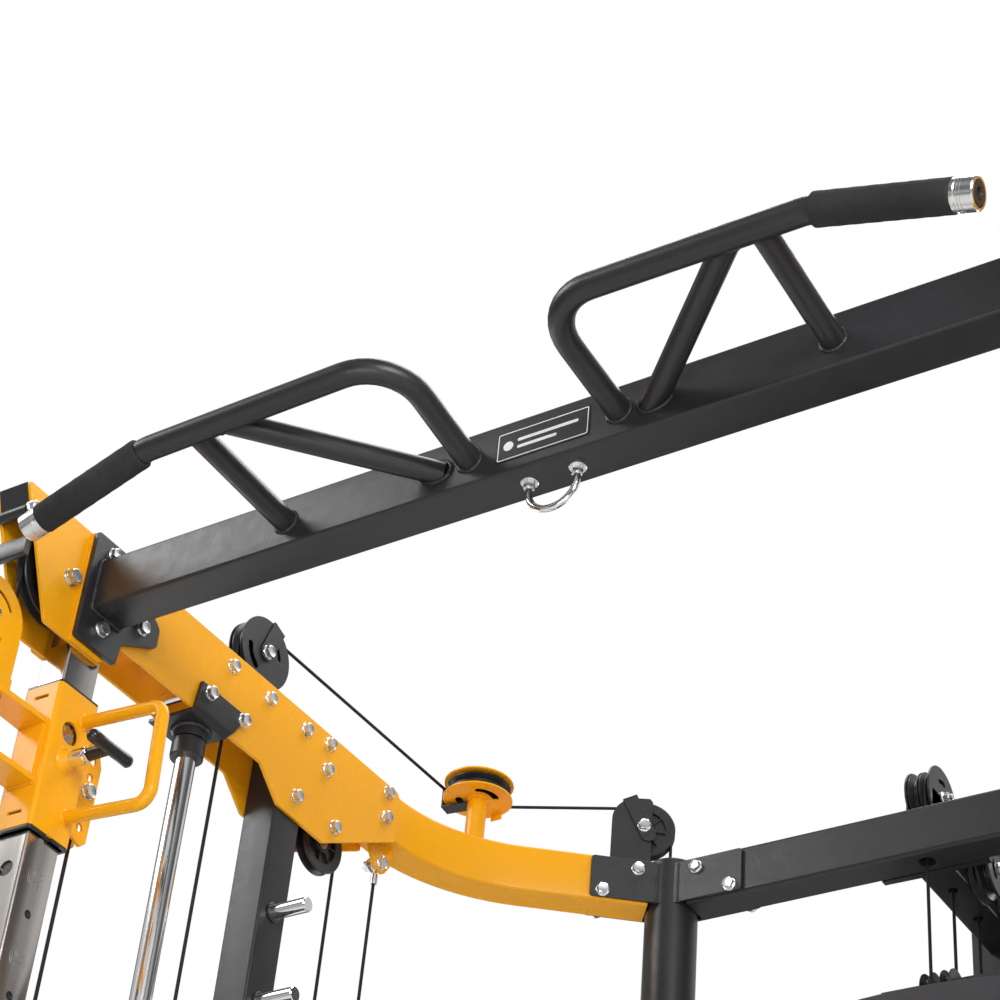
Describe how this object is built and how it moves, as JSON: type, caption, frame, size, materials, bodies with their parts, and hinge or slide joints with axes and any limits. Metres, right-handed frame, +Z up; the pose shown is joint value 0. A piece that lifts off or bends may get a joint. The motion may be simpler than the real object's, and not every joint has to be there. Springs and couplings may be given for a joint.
{
  "type": "functional trainer",
  "caption": "Gym rack with two stainless cable towers, sliding swivel pulley carriages, a guided bar, a multi-grip pull-up beam and a selectorised weight stack.",
  "frame": {"origin": "centre of the machine's box on the floor", "axes": "+Z up, +X to the right of a user who faces the machine, +Y from the front (user) to the back (weight stack)"},
  "size_m": [2.16, 1.76, 2.32],
  "materials": {
    "yellow_paint": "gloss yellow-orange powder coat",
    "black_paint": "satin black powder coat, fine texture",
    "stainless": "polished stainless with light brushing",
    "chrome": "hard chrome plate",
    "foam": "matt closed-cell foam",
    "nylon": "moulded black nylon",
    "rubber": "smooth black rubber",
    "cable": "nylon-coated steel cable",
    "iron": "black painted cast iron",
    "panel": "dark grey powder coat sheet"
  },
  "bodies": {
    "frame": {"rear_base": "black_paint", "rear_top_tube": "black_paint", "stack_top_beam": "black_paint", "pull_up_beam": "black_paint", "eye_bolt": "chrome", "resting_weights": "iron", "stack_shroud": "panel", "stack_cable": "cable", "centre_cable": "cable", "base_rail_left": "black_paint", "front_column_left": "stainless", "smith_upright_left": "black_paint", "inner_head_plate_left": "yellow_paint", "outer_head_plate_left": "yellow_paint", "curved_top_tube_left": "yellow_paint", "rear_column_left": "black_paint", "foam_grip_left": "foam", "guide_rod_left": "chrome", "guide_rod_bracket_left": "black_paint", "front_cable_left": "cable", "upper_cable_left": "cable", "carriage_cable_left": "cable", "stack_rod_left": "chrome", "base_rail_right": "black_paint", "front_column_right": "stainless", "smith_upright_right": "black_paint", "inner_head_plate_right": "yellow_paint", "outer_head_plate_right": "yellow_paint", "curved_top_tube_right": "yellow_paint", "rear_column_right": "black_paint", "foam_grip_right": "foam", "guide_rod_right": "chrome", "guide_rod_bracket_right": "black_paint", "front_cable_right": "cable", "upper_cable_right": "cable", "carriage_cable_right": "cable", "stack_rod_right": "chrome"},
    "carriage_left": {"carriage_left": "yellow_paint"},
    "pop_pin_left": {"pop_pin_left": "rubber"},
    "swivel_left": {"swivel_yoke_left": "yellow_paint"},
    "swivel_pulley_left": {"swivel_pulley_left": "nylon"},
    "head_pulley_left": {"head_pulley_left": "nylon"},
    "plate_pulley_left": {"plate_pulley_left": "nylon"},
    "top_pulley_left": {"top_pulley_left": "nylon"},
    "flat_pulley_left": {"flat_pulley_left": "nylon"},
    "column_pulley_left": {"column_pulley_left": "nylon"},
    "carriage_right": {"carriage_right": "yellow_paint"},
    "pop_pin_right": {"pop_pin_right": "rubber"},
    "swivel_right": {"swivel_yoke_right": "yellow_paint"},
    "swivel_pulley_right": {"swivel_pulley_right": "nylon"},
    "head_pulley_right": {"head_pulley_right": "nylon"},
    "plate_pulley_right": {"plate_pulley_right": "nylon"},
    "top_pulley_right": {"top_pulley_right": "nylon"},
    "flat_pulley_right": {"flat_pulley_right": "nylon"},
    "column_pulley_right": {"column_pulley_right": "nylon"},
    "bar_sliders": {"bar_slider_left": "black_paint", "bar_slider_right": "black_paint"},
    "smith_bar": {"smith_bar": "chrome"},
    "lifted_weights": {"lifted_weights": "iron"},
    "selector_pin": {"selector_pin": "rubber"}
  },
  "joints": [
    {"name": "carriage_left_slide", "type": "slide", "parent": "frame", "child": "carriage_left", "axis": [0, 0, 1], "range_m": [-1.32, 0], "deforming": ["carriage_cable_left"]},
    {"name": "pop_pin_left_pull", "type": "slide", "parent": "carriage_left", "child": "pop_pin_left", "axis": [1, 0, 0], "range_m": [0, 0.024], "stiffness_N_per_m": 900},
    {"name": "swivel_left_turn", "type": "hinge", "parent": "carriage_left", "child": "swivel_left", "pos_m": [-0.747, -0.745, 1.8565], "axis": [0, 0, 1], "range_deg": [-85, 85]},
    {"name": "swivel_pulley_left_spin", "type": "hinge", "parent": "swivel_left", "child": "swivel_pulley_left", "pos_m": [-0.747, -0.792, 1.99], "axis": [1, 0, 0], "continuous": true},
    {"name": "head_pulley_left_spin", "type": "hinge", "parent": "frame", "child": "head_pulley_left", "pos_m": [-0.747, -0.687, 2.11], "axis": [1, 0, 0], "continuous": true},
    {"name": "plate_pulley_left_spin", "type": "hinge", "parent": "frame", "child": "plate_pulley_left", "pos_m": [-0.747, -0.056, 2.048], "axis": [1, 0, 0], "continuous": true},
    {"name": "top_pulley_left_spin", "type": "hinge", "parent": "frame", "child": "top_pulley_left", "pos_m": [-0.735, -0.272, 2.249], "axis": [1, 0, 0], "continuous": true},
    {"name": "flat_pulley_left_spin", "type": "hinge", "parent": "frame", "child": "flat_pulley_left", "pos_m": [-0.69, 0.262, 2.298], "axis": [0, 0, 1], "continuous": true},
    {"name": "column_pulley_left_spin", "type": "hinge", "parent": "frame", "child": "column_pulley_left", "pos_m": [-0.47961, 0.44152, 2.269], "axis": [0.5135, -0.8581, 0], "continuous": true},
    {"name": "carriage_right_slide", "type": "slide", "parent": "frame", "child": "carriage_right", "axis": [0, 0, 1], "range_m": [-1.32, 0], "deforming": ["carriage_cable_right"]},
    {"name": "pop_pin_right_pull", "type": "slide", "parent": "carriage_right", "child": "pop_pin_right", "axis": [-1, 0, 0], "range_m": [0, 0.024], "stiffness_N_per_m": 900},
    {"name": "swivel_right_turn", "type": "hinge", "parent": "carriage_right", "child": "swivel_right", "pos_m": [0.747, -0.745, 1.8565], "axis": [0, 0, 1], "range_deg": [-85, 85]},
    {"name": "swivel_pulley_right_spin", "type": "hinge", "parent": "swivel_right", "child": "swivel_pulley_right", "pos_m": [0.747, -0.792, 1.99], "axis": [1, 0, 0], "continuous": true},
    {"name": "head_pulley_right_spin", "type": "hinge", "parent": "frame", "child": "head_pulley_right", "pos_m": [0.747, -0.687, 2.11], "axis": [1, 0, 0], "continuous": true},
    {"name": "plate_pulley_right_spin", "type": "hinge", "parent": "frame", "child": "plate_pulley_right", "pos_m": [0.747, -0.056, 2.048], "axis": [1, 0, 0], "continuous": true},
    {"name": "top_pulley_right_spin", "type": "hinge", "parent": "frame", "child": "top_pulley_right", "pos_m": [0.735, -0.272, 2.249], "axis": [1, 0, 0], "continuous": true},
    {"name": "flat_pulley_right_spin", "type": "hinge", "parent": "frame", "child": "flat_pulley_right", "pos_m": [0.69, 0.262, 2.298], "axis": [0, 0, 1], "continuous": true},
    {"name": "column_pulley_right_spin", "type": "hinge", "parent": "frame", "child": "column_pulley_right", "pos_m": [0.47961, 0.44152, 2.269], "axis": [0.5135, 0.8581, 0], "continuous": true},
    {"name": "bar_slide", "type": "slide", "parent": "frame", "child": "bar_sliders", "axis": [0, 0, 1], "range_m": [0, 1.49]},
    {"name": "bar_twist", "type": "hinge", "parent": "bar_sliders", "child": "smith_bar", "pos_m": [0, -0.412, 0.4503], "axis": [1, 0, 0], "range_deg": [0, 40]},
    {"name": "weights_lift", "type": "slide", "parent": "frame", "child": "lifted_weights", "axis": [0, 0, 1], "range_m": [0, 1.1], "deforming": ["stack_cable"]},
    {"name": "selector_pin_pull", "type": "slide", "parent": "lifted_weights", "child": "selector_pin", "axis": [0, 1, 0], "range_m": [0, 0.1]}
  ]
}
